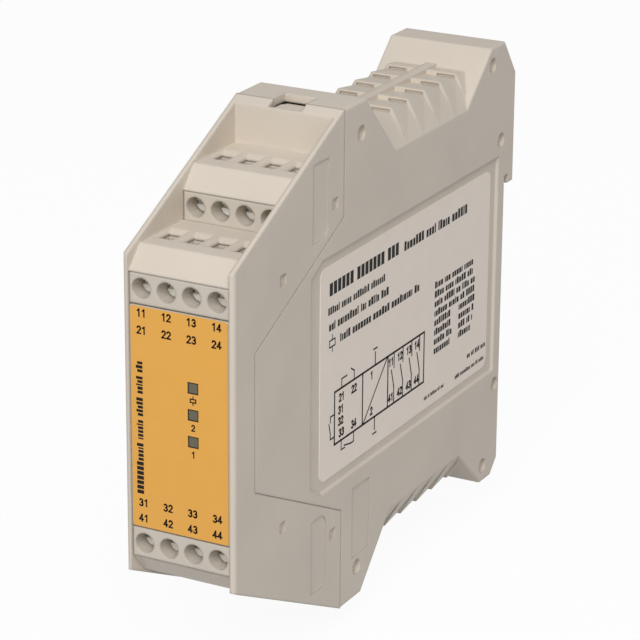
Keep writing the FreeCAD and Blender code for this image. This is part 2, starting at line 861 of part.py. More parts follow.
def relay_pins(side):
    """Pins of the upper (side 1) or lower (side -1) relay: two coil and eight contact pins."""
    y0, z0 = relay_centre
    first = y0 - relay_size[0] / 2 + relay_pin_first
    return [(first + step, side * z0 + dz) for step in relay_pin_steps
            for dz in (-relay_pin_rows / 2, relay_pin_rows / 2)]


def pins(places, start):
    """Square pins through the board from start, given in x."""
    end = board_face - board_thickness - pin_tail
    return [box(end, start, y - pin / 2, y + pin / 2, z - pin / 2, z + pin / 2) for y, z in places]


def relay(side):
    """Sealed relay with its pins in the board."""
    y0, z0 = relay_centre
    long, high, tall = relay_size
    z = side * z0
    body = box(board_face, board_face + tall, y0 - long / 2, y0 + long / 2, z - high / 2, z + high / 2)
    body = body.makeChamfer(relay_edge, [e for e in body.Edges if e.CenterOfMass.x > board_face])
    groove_width, groove_depth = relay_groove
    low = board_face + relay_groove_above
    groove = box(low, low + groove_width, y0 - long / 2, y0 + long / 2, z - high / 2, z + high / 2)
    core = box(low, low + groove_width, y0 - long / 2 + groove_depth, y0 + long / 2 - groove_depth,
               z - high / 2 + groove_depth, z + high / 2 - groove_depth)
    body = body.cut(groove.cut(core))
    return fuse([body] + pins(relay_pins(side), board_face + pin_root))


def capacitor_pins():
    y, z = capacitor_place
    return [(y - capacitor_leads / 2, z), (y + capacitor_leads / 2, z)]


def filter_capacitor():
    y, z = capacitor_place
    diameter, tall = capacitor_size
    can = Part.makeCylinder(diameter / 2, tall, V(board_face, y, z), V(1, 0, 0))
    return fuse([can] + pins(capacitor_pins(), board_face + pin_root))


def rectifier_pins():
    y, z = rectifier_place
    along, across = rectifier_leads
    return [(y + dy, z + dz) for dy in (-along / 2, along / 2) for dz in (-across / 2, across / 2)]


def bridge_rectifier():
    y, z = rectifier_place
    long, high, tall = rectifier_size
    low = board_face + rectifier_lift
    body = box(low, low + tall, y - long / 2, y + long / 2, z - high / 2, z + high / 2)
    body = body.makeChamfer(component_edge, [e for e in body.Edges if e.CenterOfMass.x > low + tall - 0.1])
    legs = []
    start = board_face + rectifier_leg_above
    for leg_y, leg_z in rectifier_pins():
        reach = sorted((leg_z, z))
        legs.append(box(start, start + pin, leg_y - pin / 2, leg_y + pin / 2,
                        reach[0] - pin / 2, reach[1] + pin / 2))
    return fuse([body] + legs + pins(rectifier_pins(), start + pin))


def fuse_pins():
    y, z = fuse_place
    return [(y - fuse_leads / 2, z), (y + fuse_leads / 2, z)]


def input_fuse():
    """Small box-shaped fuse at the supply terminals."""
    y, z = fuse_place
    long, high, tall = fuse_size
    body = box(board_face, board_face + tall, y - long / 2, y + long / 2, z - high / 2, z + high / 2)
    body = body.makeChamfer(component_edge, [e for e in body.Edges if e.CenterOfMass.x > board_face])
    return fuse([body] + pins(fuse_pins(), board_face + pin_root))


def varistor_pins():
    y, z = varistor_place
    return [(y - varistor_leads / 2, z), (y + varistor_leads / 2, z)]


def varistor():
    """Disc varistor that stands on its two leads."""
    y, z = varistor_place
    diameter, thick = varistor_size
    centre = board_face + varistor_lift + diameter / 2
    disc = Part.makeCylinder(diameter / 2, thick, V(centre, y, z - thick / 2), V(0, 0, 1))
    return fuse([disc] + pins(varistor_pins(), centre - diameter / 4))


def logic_chip(y, z):
    """Small-outline chip with eight legs along each long side."""
    long, high, tall = chip_size
    low = board_face + chip_lift
    body = box(low, low + tall, y - long / 2, y + long / 2, z - high / 2, z + high / 2)
    body = body.makeChamfer(chip_edge, [e for e in body.Edges if e.CenterOfMass.x > low + tall - 0.1])
    leg_wide, leg_thick, reach = chip_leg
    legs = []
    for i in range(chip_legs):
        leg_y = y + (i - (chip_legs - 1) / 2) * chip_leg_pitch
        legs.append(box(board_face, board_face + leg_thick, leg_y - leg_wide / 2, leg_y + leg_wide / 2,
                        z - high / 2 - reach, z + high / 2 + reach))
    return fuse([body] + legs)


def led_front():
    return cover_back() + strip_thickness + fit


def led_pins(z):
    lead = led_front() + led_length + led_lead_run
    return [(lead, z - led_leads / 2), (lead, z + led_leads / 2)]


def status_led(z):
    """Square lamp behind one window, on two leads that bend across to the board."""
    front = led_front()
    half = led_width / 2
    lens = box(window_x - half, window_x + half, front, front + led_length, z - half, z + half)
    corners = [e for e in lens.Edges if abs(e.tangentAt(e.FirstParameter).y) > 0.9]
    lens = lens.makeChamfer(component_edge, corners)
    wire = led_wire
    pieces = [lens]
    for y, height in led_pins(z):
        low, high = height - wire / 2, height + wire / 2
        pieces.append(box(window_x - wire / 2, window_x + wire / 2, front + led_length - pin_root, y + wire / 2,
                          low, high))
        pieces.append(box(board_face - board_thickness - pin_tail, window_x + wire / 2, y - wire / 2,
                          y + wire / 2, low, high))
    return fuse(pieces)


def board_outline():
    """Upper half of the board's edge, from its front, stepped round the terminals."""
    (front, low_axis), (rear, high_axis) = rows()
    clear = board_clear
    behind_front = front + block_back_depth() + clear
    behind_rear = rear + block_back_depth() + clear
    return [(board_front, low_axis - block_below - clear), (behind_front, low_axis - block_below - clear),
            (behind_front, high_axis - block_below - clear), (behind_rear, high_axis - block_below - clear),
            (behind_rear, board_half), (board_rear, board_half)]


def main_board():
    upper = board_outline()
    body = prism(upper + mirrored_points(upper), board_face - board_thickness, board_face)
    places = bar_pins() + relay_pins(1) + relay_pins(-1) + capacitor_pins() + rectifier_pins()
    places += fuse_pins() + varistor_pins()
    for z in window_heights():
        places += led_pins(z)
    size = pin + 2 * pin_play
    holes = [box(board_face - 2 * board_thickness, board_face + 1, y - size / 2, y + size / 2,
                 z - size / 2, z + size / 2) for y, z in places]
    return cut(body, holes)


# ---- rail latch ---------------------------------------------------------------

def rail_latch():
    """T-section slider with a nose that grips under the rail and a grip below the foot."""
    back = latch_channel_back() + latch_play
    flange_end = back + latch_flange_depth
    neck = latch_neck / 2
    wide = latch_width / 2
    nose_inner = seat_depth + rail_flange + latch_nose_back
    nose_outer = nose_inner + latch_nose
    nose_top = rail_bottom + latch_overlap
    outer_face = seat_depth - latch_play
    shelf = rail_bottom - rail_play
    grip = -latch_grip_end
    slider = prism([(back, grip), (back, shelf), (nose_inner, shelf), (nose_inner, nose_top),
                    (nose_inner + latch_nose_tip, nose_top), (nose_outer, nose_top - latch_nose),
                    (nose_outer, nose_top - 2 * latch_nose), (outer_face, nose_top - 3 * latch_nose),
                    (outer_face, grip + pry_slot_below), (outer_face - pry_slot_below, grip)], -neck, neck)
    flange = box(-wide, wide, back, flange_end, -hump_half + foot_chamfer, shelf - latch_flange_depth)
    peg_height = stop_peg[1]
    window_low = -stop_peg_top - peg_height - latch_play
    window = box(-latch_window / 2, latch_window / 2, back, seat_depth, window_low,
                 -stop_peg_top + spring_length)
    pry_width, pry_height = pry_slot
    pry = box(-pry_width / 2, pry_width / 2, back, seat_depth, grip + pry_slot_below,
              grip + pry_slot_below + pry_height)
    return cut(fuse([slider, flange]), [window, pry])


def latch_spring():
    """Compression coil between the peg and the top of the latch's window."""
    radius = (spring_diameter - spring_wire) / 2
    length = spring_length - spring_wire
    middle = latch_channel_back() + latch_play + latch_thickness / 2
    half = spring_wire / 2
    outlines = []
    for i in range(spring_turns * spring_sides + 1):
        angle = 2 * math.pi * i / spring_sides
        out = V(math.cos(angle), math.sin(angle), 0)
        rise = length * i / (spring_turns * spring_sides)
        centre = V(0, middle, -stop_peg_top + half + rise) + out * radius
        up = V(0, 0, half)
        outlines.append([centre + out * half, centre + up, centre - out * half, centre - up])
    return skin(outlines)


# ---- export -------------------------------------------------------------------

def row_names():
    """Each terminal row's name, number of its first pole and whether it is below."""
    front, rear = rows()
    return [("top_front", front, 1, False), ("top_rear", rear, 5, False),
            ("bottom_rear", rear, 9, True), ("bottom_front", front, 13, True)]


def build():
    parts = {
        "rear_housing": rear_housing(),
        "front_housing": front_housing(),
        "front_cover": front_cover(),
        "front_label": front_label(),
        "window_strip": window_strip(),
        "rating_label": rating_label(),
        "main_board": main_board(),
        "relay_upper": relay(1),
        "relay_lower": relay(-1),
        "filter_capacitor": filter_capacitor(),
        "bridge_rectifier": bridge_rectifier(),
        "input_fuse": input_fuse(),
        "varistor": varistor(),
        "logic_chips": Part.makeCompound([logic_chip(y, z) for y, z in chip_places]),
        "status_leds": Part.makeCompound([status_led(z) for z in window_heights()]),
        "rail_latch": rail_latch(),
        "latch_spring": latch_spring(),
    }
    for name, (y, axis), first, below in row_names():
        place = upside_down if below else (lambda shape: shape)
        parts["terminal_block_" + name] = place(terminal_block(y, axis))
        bars = [place(contact_bar(i, y, axis)) for i in range(pole_count)]
        parts["contact_bars_" + name] = Part.makeCompound(bars)
        for i, x in enumerate(poles()):
            number = "%02d" % (first + i)
            parts["terminal_screw_" + number] = place(terminal_screw(x, y, axis))
            parts["clamp_sleeve_" + number] = place(clamp_sleeve(x, y, axis))
    return parts


os.makedirs("parts", exist_ok=True)
for node, shape in build().items():
    shape.translate(V(0, -seat_depth, 0))
    shape.exportStep(os.path.join("parts", node + ".step"))
    found = (node, len(shape.Solids), shape.isValid(), shape.Volume)
    print("%-26s solids %d  valid %s  volume %.1f mm3" % found)
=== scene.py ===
import math
import random

import bpy
from mathutils import Matrix, Vector

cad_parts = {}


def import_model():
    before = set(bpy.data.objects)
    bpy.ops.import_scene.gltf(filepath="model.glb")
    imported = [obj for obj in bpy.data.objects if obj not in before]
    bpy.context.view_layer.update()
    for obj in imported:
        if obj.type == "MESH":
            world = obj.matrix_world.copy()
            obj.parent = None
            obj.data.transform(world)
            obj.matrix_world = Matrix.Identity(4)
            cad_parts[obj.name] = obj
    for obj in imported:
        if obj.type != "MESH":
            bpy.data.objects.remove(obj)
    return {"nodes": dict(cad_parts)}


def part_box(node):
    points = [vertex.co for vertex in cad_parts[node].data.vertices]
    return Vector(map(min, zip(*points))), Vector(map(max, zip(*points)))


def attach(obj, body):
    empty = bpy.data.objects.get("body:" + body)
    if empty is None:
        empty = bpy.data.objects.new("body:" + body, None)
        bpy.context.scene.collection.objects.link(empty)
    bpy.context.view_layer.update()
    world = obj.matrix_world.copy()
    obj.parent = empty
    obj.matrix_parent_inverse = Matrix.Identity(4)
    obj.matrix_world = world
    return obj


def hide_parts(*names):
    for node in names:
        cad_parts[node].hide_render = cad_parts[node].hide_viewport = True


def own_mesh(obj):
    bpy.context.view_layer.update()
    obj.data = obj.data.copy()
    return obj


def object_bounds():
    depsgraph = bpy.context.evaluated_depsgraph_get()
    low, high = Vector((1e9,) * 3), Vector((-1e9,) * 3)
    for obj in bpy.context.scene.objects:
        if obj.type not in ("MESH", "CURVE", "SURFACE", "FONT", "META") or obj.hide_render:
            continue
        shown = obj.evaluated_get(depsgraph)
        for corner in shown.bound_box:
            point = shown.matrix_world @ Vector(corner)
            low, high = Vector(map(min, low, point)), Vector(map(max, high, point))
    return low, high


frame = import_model()
cad_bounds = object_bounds()
nodes = frame["nodes"]
MM = 0.001

# sizes that several pieces share, in millimetres
SEAT_DEPTH = 110.5         # from the front to the plane against the rail
WINDOW_PITCH = 5.08
WINDOW_HALF = 1.0
ROOF_EDGE = 43.0           # height of each louvre's front edge
LATCH_ROOM = 4.2           # under the case, for the latch at its lower stop


# ---- materials -----------------------------------------------------------------------

def material(name, colour, roughness, metallic=0.0, specular=0.5):
    """A new material with its constants on the shader's own sockets."""
    made = bpy.data.materials.new(name)
    made.use_nodes = True
    shader = made.node_tree.nodes["Principled BSDF"]
    shader.inputs["Base Color"].default_value = (*colour, 1)
    shader.inputs["Roughness"].default_value = roughness
    shader.inputs["Metallic"].default_value = metallic
    shader.inputs["Specular IOR Level"].default_value = specular
    return made, made.node_tree, shader


def node(tree, kind, inputs=None, **settings):
    """A shader node with its settings, and values or links on its inputs."""
    made = tree.nodes.new(kind)
    for key, value in settings.items():
        setattr(made, key, value)
    for key, value in (inputs or {}).items():
        if isinstance(value, bpy.types.NodeSocket):
            tree.links.new(value, made.inputs[key])
        else:
            made.inputs[key].default_value = value
    return made


def noise(tree, size, detail, stretch=None):
    """Noise with features of about that size, in metres, in the part's own frame."""
    place = node(tree, "ShaderNodeTexCoord").outputs["Object"]
    if stretch:
        mapping = node(tree, "ShaderNodeMapping", {"Vector": place, "Scale": stretch})
        place = mapping.outputs["Vector"]
    made = node(tree, "ShaderNodeTexNoise",
                {"Vector": place, "Scale": 1 / size, "Detail": detail, "Roughness": 0.5})
    return made.outputs["Fac"]


def spread(tree, value, low, high, start=0.3, end=0.7):
    """The value, mapped from start..end to low..high."""
    made = node(tree, "ShaderNodeMapRange", {"Value": value, "From Min": start, "From Max": end,
                                             "To Min": low, "To Max": high})
    return made.outputs["Result"]


def tint(tree, value, colour, change):
    """The colour, a little darker and lighter with a value."""
    dark = [c * (1 - change) for c in colour]
    light = [min(1.0, c * (1 + change)) for c in colour]
    ramp = node(tree, "ShaderNodeValToRGB", {"Fac": value})
    ramp.color_ramp.elements[0].position = 0.3
    ramp.color_ramp.elements[1].position = 0.7
    ramp.color_ramp.elements[0].color = (*dark, 1)
    ramp.color_ramp.elements[1].color = (*light, 1)
    return ramp.outputs["Color"]


def soft_edges(tree, radius, samples):
    """Normals that round the edges to about that radius."""
    return node(tree, "ShaderNodeBevel", {"Radius": radius}, samples=samples).outputs["Normal"]


def moulded(name, colour, roughness=0.48, grain=0.35 * MM, edge=0.25 * MM):
    """Moulded plastic: fine spark-eroded grain, soft edges and a faint cloudiness."""
    made, tree, shader = material(name, colour, roughness, specular=0.4)
    fine = noise(tree, grain, detail=3.0)
    broad = noise(tree, 14 * MM, detail=3.0)
    bump = node(tree, "ShaderNodeBump", {"Height": fine, "Distance": 0.012 * MM, "Strength": 1.0,
                                         "Normal": soft_edges(tree, edge, 6)})
    dull = spread(tree, fine, roughness - 0.05, roughness + 0.07)
    tree.links.new(bump.outputs["Normal"], shader.inputs["Normal"])
    tree.links.new(tint(tree, broad, colour, 0.03), shader.inputs["Base Color"])
    tree.links.new(dull, shader.inputs["Roughness"])
    return made


def printed(name, colour, roughness=0.35, change=0.015, specular=0.45):
    """Satin film: flat colour with faint mottling and a slight orange peel."""
    made, tree, shader = material(name, colour, roughness, specular=specular)
    broad = noise(tree, 5 * MM, detail=4.0)
    peel = noise(tree, 0.8 * MM, detail=1.0)
    bump = node(tree, "ShaderNodeBump", {"Height": peel, "Distance": 0.004 * MM, "Strength": 1.0})
    dull = spread(tree, peel, roughness - 0.04, roughness + 0.06)
    tree.links.new(bump.outputs["Normal"], shader.inputs["Normal"])
    tree.links.new(tint(tree, broad, colour, change), shader.inputs["Base Color"])
    tree.links.new(dull, shader.inputs["Roughness"])
    return made


def metal(name, colour, roughness, stretch=None, metallic=1.0):
    """Plated metal with a drawn or turned finish; less metallic where the plating is dull."""
    made, tree, shader = material(name, colour, roughness, metallic=metallic)
    lines = noise(tree, 0.25 * MM, detail=4.0, stretch=stretch)
    cloud = noise(tree, 1.2 * MM, detail=2.0)
    bump = node(tree, "ShaderNodeBump", {"Height": lines, "Distance": 0.006 * MM, "Strength": 1.0,
                                         "Normal": soft_edges(tree, 0.08 * MM, 4)})
    dull = spread(tree, lines, roughness - 0.08, roughness + 0.12)
    tree.links.new(bump.outputs["Normal"], shader.inputs["Normal"])
    tree.links.new(tint(tree, cloud, colour, 0.08), shader.inputs["Base Color"])
    tree.links.new(dull, shader.inputs["Roughness"])
    return made


def gloss(name, colour, roughness, change=0.04):
    """Smooth plastic, lacquer or resist, with faint clouds in its colour and gloss."""
    made, tree, shader = material(name, colour, roughness, specular=0.55)
    cloud = noise(tree, 2.0 * MM, detail=3.0)
    tree.links.new(soft_edges(tree, 0.12 * MM, 4), shader.inputs["Normal"])
    tree.links.new(tint(tree, cloud, colour, change), shader.inputs["Base Color"])
    tree.links.new(spread(tree, cloud, roughness, roughness + 0.1), shader.inputs["Roughness"])
    return made


case_plastic = moulded("case_plastic", (0.665, 0.594, 0.508), edge=0.65 * MM)
terminal_plastic = moulded("terminal_plastic", (0.595, 0.54, 0.465), roughness=0.40,
                           grain=0.3 * MM, edge=0.6 * MM)
latch_plastic = moulded("latch_plastic", (0.62, 0.555, 0.48), roughness=0.45)
yellow_film = printed("yellow_film", (0.80, 0.40, 0.070))
white_film = printed("white_film", (0.88, 0.78, 0.695), roughness=0.4)
window_plastic = gloss("window_plastic", (0.115, 0.108, 0.068), roughness=0.35)
screw_metal = metal("screw_metal", (0.95, 0.93, 0.88), roughness=0.34, metallic=0.5)
sleeve_metal = metal("sleeve_metal", (0.90, 0.87, 0.81), roughness=0.42, metallic=0.3)
contact_metal = metal("contact_metal", (0.80, 0.74, 0.62), roughness=0.30, stretch=(0.2, 1, 1))
spring_metal = metal("spring_metal", (0.62, 0.61, 0.60), roughness=0.25)
board_resist = gloss("board_resist", (0.035, 0.16, 0.07), roughness=0.3, change=0.2)
relay_plastic = moulded("relay_plastic", (0.72, 0.70, 0.62), roughness=0.3, edge=0.2 * MM)
black_plastic = moulded("black_plastic", (0.022, 0.022, 0.023), roughness=0.4, edge=0.15 * MM)
capacitor_sleeve = gloss("capacitor_sleeve", (0.02, 0.03, 0.06), roughness=0.2)
blue_lacquer = gloss("blue_lacquer", (0.03, 0.09, 0.32), roughness=0.25)
lamp_lens = gloss("lamp_lens", (0.42, 0.62, 0.36), roughness=0.15)
print_ink = printed("print_ink", (0.012, 0.010, 0.009), roughness=0.6, change=0.3, specular=0.2)

finishes = {
    "rear_housing": case_plastic, "front_housing": case_plastic, "front_cover": terminal_plastic,
    "front_label": yellow_film, "window_strip": window_plastic, "rating_label": white_film,
    "main_board": board_resist, "relay_upper": relay_plastic, "relay_lower": relay_plastic,
    "filter_capacitor": capacitor_sleeve, "bridge_rectifier": black_plastic,
    "input_fuse": black_plastic, "varistor": blue_lacquer, "logic_chips": black_plastic,
    "status_leds": lamp_lens, "rail_latch": latch_plastic, "latch_spring": spring_metal,
}
for name, thing in nodes.items():
    finish = finishes.get(name)
    if name.startswith("terminal_block"):
        finish = terminal_plastic
    elif name.startswith("contact_bars"):
        finish = contact_metal
    elif name.startswith("terminal_screw"):
        finish = screw_metal
    elif name.startswith("clamp_sleeve"):
        finish = sleeve_metal
    for slot in thing.material_slots:
        slot.material = finish


# ---- front label film ----------------------------------------------------------------

def rounded_outline(x_low, x_high, z_low, z_high, radius, steps=5):
    """Points (x, z) of a rectangle with round corners, anticlockwise."""
    left, right = x_low + radius, x_high - radius
    bottom, top = z_low + radius, z_high - radius
    corners = ((right, top, 0), (left, top, 90), (left, bottom, 180), (right, bottom, 270))
    points = []
    for cx, cz, start in corners:
        for i in range(steps + 1):
            angle = math.radians(start + 90 * i / steps)
            points.append((cx + radius * math.cos(angle), cz + radius * math.sin(angle)))
    return points


def film(name, outlines, front, back, finish):
    """Flat film with holes, from outlines in (x, z), between two depths."""
    curve = bpy.data.curves.new(name, "CURVE")
    curve.dimensions = "2D"
    curve.fill_mode = "BOTH"
    curve.extrude = (back - front) / 2
    for outline in outlines:
        spline = curve.splines.new("POLY")
        spline.points.add(len(outline) - 1)
        for point, (x, z) in zip(spline.points, outline):
            point.co = (x, z, 0, 1)
        spline.use_cyclic_u = True
    holder = bpy.data.objects.new(name, curve)
    bpy.context.scene.collection.objects.link(holder)
    bpy.context.view_layer.update()
    depsgraph = bpy.context.evaluated_depsgraph_get()
    mesh = bpy.data.meshes.new_from_object(holder.evaluated_get(depsgraph))
    bpy.data.objects.remove(holder)
    bpy.data.curves.remove(curve)
    upright = Matrix(((1, 0, 0, 0), (0, 0, 1, (front + back) / 2), (0, 1, 0, 0), (0, 0, 0, 1)))
    mesh.transform(upright)
    mesh.flip_normals()
    mesh.materials.clear()
    mesh.materials.append(finish)
    thing = bpy.data.objects.new(name, mesh)
    bpy.context.scene.collection.objects.link(thing)
    return thing


def label_film():
    """Yellow film over the front cover, rounded at its corners, with a hole for each window."""
    low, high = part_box("front_label")
    plate_low, plate_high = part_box("front_cover")
    strip_low, strip_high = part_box("window_strip")
    margin = 0.12 * MM
    overhang = 0.1 * MM
    corner = 0.45 * MM
    half = WINDOW_HALF * MM
    outlines = [rounded_outline(low.x - overhang, high.x + overhang,
                                plate_low.z + margin, plate_high.z - margin, corner)]
    middle = (strip_low + strip_high) / 2
    for row in (1, 0, -1):
        z = middle.z + row * WINDOW_PITCH * MM
        outlines.append([(middle.x + dx * half, z + dz * half)
                         for dx, dz in ((-1, -1), (1, -1), (1, 1), (-1, 1))])
    piece = film("front_film", outlines, low.y, high.y, yellow_film)
    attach(piece, "case")
    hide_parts("front_label")


label_film()


# ---- print on the labels -------------------------------------------------------------

def mesh_object(name, vertices, faces, finish):
    """A new object in the scene, from points in metres and lists of their numbers."""
    mesh = bpy.data.meshes.new(name)
    mesh.from_pydata(vertices, [], faces)
    mesh.materials.append(finish)
    thing = bpy.data.objects.new(name, mesh)
    bpy.context.scene.collection.objects.link(thing)
    return thing


def arc(x, y, radius_x, radius_y, start, end, steps=7):
    """Points on an ellipse between two angles in degrees."""
    angles = [math.radians(start + (end - start) * i / steps) for i in range(steps + 1)]
    return [(x + radius_x * math.cos(a), y + radius_y * math.sin(a)) for a in angles]


# strokes of plain digits, one unit high and centred on the origin
DIGITS = {
    "1": [[(-0.16, 0.26), (0.05, 0.42), (0.05, -0.42)]],
    "2": [arc(0, 0.2, 0.23, 0.22, 165, -35) + [(-0.24, -0.42), (0.25, -0.42)]],
    "3": [arc(-0.01, 0.21, 0.21, 0.21, 150, -80), arc(-0.01, -0.2, 0.24, 0.22, 80, -150)],
    "4": [[(0.1, -0.42), (0.1, 0.42), (-0.26, -0.2), (0.27, -0.2)]],
}


class Print:
    """Ink on a flat label: every field is a thin flat plate just over the film."""

    lift = 0.012 * MM
    thickness = 0.01 * MM

    def __init__(self, origin, across, up):
        self.origin = Vector(origin)
        self.across = Vector(across)
        self.up = Vector(up)
        self.out = self.across.cross(self.up)
        self.vertices = []
        self.faces = []

    def place(self, u, v, w):
        return self.origin + self.across * (u * MM) + self.up * (v * MM) + self.out * w

    def outline(self, points):
        """A filled outline, given as (across, up) points in millimetres, anticlockwise."""
        start = len(self.vertices)
        count = len(points)
        self.vertices += [self.place(u, v, self.lift) for u, v in points]
        self.vertices += [self.place(u, v, self.lift - self.thickness) for u, v in points]
        self.faces.append([start + i for i in range(count)])
        for i in range(count):
            j = (i + 1) % count
            self.faces.append([start + i, start + count + i, start + count + j, start + j])

    def field(self, u_low, u_high, v_low, v_high):
        self.outline([(u_low, v_low), (u_high, v_low), (u_high, v_high), (u_low, v_high)])

    def line(self, start, end, width):
        along = (Vector(end) - Vector(start)).normalized() * (width / 2)
        side = Vector((-along.y, along.x))
        a = Vector(start) - along
        b = Vector(end) + along
        self.outline([tuple(a - side), tuple(b - side), tuple(b + side), tuple(a + side)])

    def path(self, points, width):
        for start, end in zip(points, points[1:]):
            self.line(start, end, width)

    def ring(self, points, width):
        self.path(points + points[:1], width)

    def words(self, u, v, length, height, seed, upright=True, letters=(2, 9), weight=0.48,
              level=False):
        """A line of small print as plain blocks in groups, one block for each letter.

        The line starts at (u, v) and runs across, or up where upright is False. letters gives the
        range of blocks in a group, and level blocks are all of one size.
        """
        rng = random.Random(seed)
        at = 0.0
        left = rng.randint(*letters)
        while at < length:
            wide = height * weight * (1.0 if level else rng.choice((0.55, 1.0, 1.0, 1.15)))
            tall = height * (1.0 if level else rng.choice((0.8, 0.8, 1.0)))
            if upright:
                self.field(u + at, u + at + wide, v, v + tall)
            else:
                self.field(u - tall, u, v + at, v + at + wide)
            at += wide + height * 0.15
            left -= 1
            if left == 0:
                left = rng.randint(*letters)
                at += height * 0.45

    def digits(self, text, u, v, height, weight=0.19, squeeze=0.92):
        """Plain numbers drawn with strokes, centred on a point."""
        advance = 0.74 * squeeze * height
        start = u - advance * (len(text) - 1) / 2
        for i, digit in enumerate(text):
            for stroke in DIGITS[digit]:
                points = [(start + i * advance + x * squeeze * height, v + y * height)
                          for x, y in stroke]
                self.path(points, weight * height)

    def finish(self, name, ink, slot):
        thing = mesh_object(name, self.vertices, self.faces, ink)
        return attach(thing, "case")


def front_print():
    """Terminal numbers, rims and signs of the windows, and blocks up the left edge."""
    number_height = 1.5
    row_heights = ((1, 19.8), (2, 16.6), (3, -16.3), (4, -19.3))
    small_height = 1.25
    small_drop = 2.4           # from a window's middle to the number under it
    coil_drop = 2.35           # from the top window's middle to the coil sign under it
    coil_x, coil_z, lead = 0.55, 0.3, 0.75
    edge_x = -7.5

    label_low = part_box("front_label")[0]
    front = Print((0, label_low.y, 0), (1, 0, 0), (0, 0, 1))
    columns = [sum(c.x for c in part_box("terminal_screw_%02d" % i)) / 2 / MM for i in range(1, 5)]
    for tens, height in row_heights:
        for i, column in enumerate(columns):
            front.digits("%d%d" % (tens, i + 1), column, height, number_height)

    window_low, window_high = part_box("window_strip")
    x = (window_low.x + window_high.x) / 2 / MM
    middle = (window_low.z + window_high.z) / 2 / MM
    for row in (1, 0, -1):
        z = middle + row * WINDOW_PITCH
        front.ring([(x + dx * WINDOW_HALF, z + dz * WINDOW_HALF)
                    for dx, dz in ((-1, -1), (1, -1), (1, 1), (-1, 1))], 0.16)
    z = middle + WINDOW_PITCH - coil_drop
    front.ring([(x + dx * coil_x, z + dz * coil_z)
                for dx, dz in ((-1, -1), (1, -1), (1, 1), (-1, 1))], 0.24)
    front.line((x, z + coil_z), (x, z + lead), 0.22)
    front.line((x, z - coil_z), (x, z - lead), 0.22)
    front.digits("2", x, middle - small_drop, small_height)
    front.digits("1", x, middle - WINDOW_PITCH - small_drop, small_height)

    front.words(edge_x, -14.6, 5.8, 1.4, seed=3, upright=False, letters=(9, 9), weight=0.5,
                level=True)
    front.words(edge_x, -8.2, 18.8, 1.35, seed=4, upright=False, weight=0.38)
    front.finish("front_print", print_ink, "front_label")


def rating_words(side):
    """Title, four lines and a block of eight rows; u runs back from the case's front."""
    row_pitch = 1.97
    row_height = 1.4
    row_weight = 0.56
    side.words(35.9, 15.0, 27.4, 2.5, seed=11, letters=(5, 7), weight=0.5, level=True)
    side.words(66.2, 14.9, 27.5, 1.9, seed=12, letters=(4, 8), weight=0.48)
    side.words(35.4, 11.4, 22.2, 1.45, seed=13, weight=0.42)
    side.words(35.8, 8.2, 24.4, 1.6, seed=14)
    side.words(40.2, 4.9, 32.2, 1.6, seed=15, weight=0.52)
    side.ring([(36.0, 5.0), (38.2, 5.0), (38.2, 6.3), (36.0, 6.3)], 0.28)
    side.line((37.1, 6.3), (37.1, 7.3), 0.24)
    side.line((37.1, 5.0), (37.1, 4.0), 0.24)
    for i in range(8):
        v = 3.1 - row_pitch * i
        if i < 4:
            side.words(80.0, v, 17.6, row_height, seed=20 + i, weight=row_weight)
        else:
            side.words(80.0, v, 7.2, row_height, seed=20 + i, weight=row_weight)
            side.words(91.0, v, 6.4, row_height, seed=40 + i, weight=row_weight)
    side.words(95.5, -16.6, 8.2, 1.05, seed=31)
    side.words(76.0, -19.1, 8.6, 0.75, seed=32)
    side.words(90.0, -19.3, 13.0, 0.85, seed=33)


def circuit_diagram(side):
    """Inputs at the left, a supply crossed by a diagonal, and four contacts at the right."""
    top, low = -4.5, -15.0
    left, divide, contacts, right = 38.2, 49.5, 60.0, 75.6
    supply = 54.6              # the supply's two leads
    frame_ink = 0.45
    thin = frame_ink * 0.8
    finest = frame_ink * 0.7
    number, number_weight = 1.6, 0.23

    side.ring([(left, low), (left, top), (contacts, top), (contacts, low)], frame_ink)
    side.line((divide, top), (divide, low), frame_ink)
    side.line((divide + 0.2, low), (contacts - 0.2, top), thin)
    side.path([(contacts, top), (right, top), (right, low), (contacts, low)], frame_ink)
    for u in (62.6, 66.4, 70.2, 73.6):
        side.line((u, top), (u, -7.6), thin)
        side.line((u, low), (u, -11.6), thin)
        side.line((u, -11.6), (u - 1.1, -7.9), thin)
    for u, text in ((61.6, "1"), (65.4, "2"), (69.2, "3"), (72.7, "4")):
        side.digits("1" + text, u - 0.3, top - number, number, weight=number_weight)
        side.digits("4" + text, u - 0.3, low + number, number, weight=number_weight)
    side.line((supply, top), (supply, top + 2.6), thin)
    side.line((supply, low), (supply, low - 2.6), thin)
    side.line((supply - 0.7, top + 3.4), (supply + 0.7, top + 3.4), thin)
    side.line((supply - 0.7, low - 3.4), (supply + 0.7, low - 3.4), thin)
    for text, u, v in (("1", 53.2, top - number), ("2", 53.2, low + number),
                       ("21", 41.0, -6.3), ("22", 46.0, -6.3), ("31", 40.7, -8.7),
                       ("32", 40.7, -11.0), ("33", 41.0, -13.4), ("34", 46.0, -13.4)):
        side.digits(text, u, v, number, weight=number_weight)
    for wire in ([(41.0, top), (41.0, top + 1.8), (43.0, top + 1.8)],
                 [(46.0, top), (46.0, top + 1.8), (44.8, top + 2.6)],
                 [(41.0, low), (41.0, low - 2.0), (42.4, low - 2.0)],
                 [(46.0, low), (46.0, low - 2.0), (44.6, low - 2.0)],
                 [(42.2, low - 1.5), (44.8, low - 2.0)],
                 [(left, -8.9), (36.6, -8.9), (36.6, -10.0)],
                 [(left, -13.4), (36.6, -13.4), (36.6, -12.2)],
                 [(36.0, -10.2), (36.6, -12.2)]):
        side.path(wire, finest)


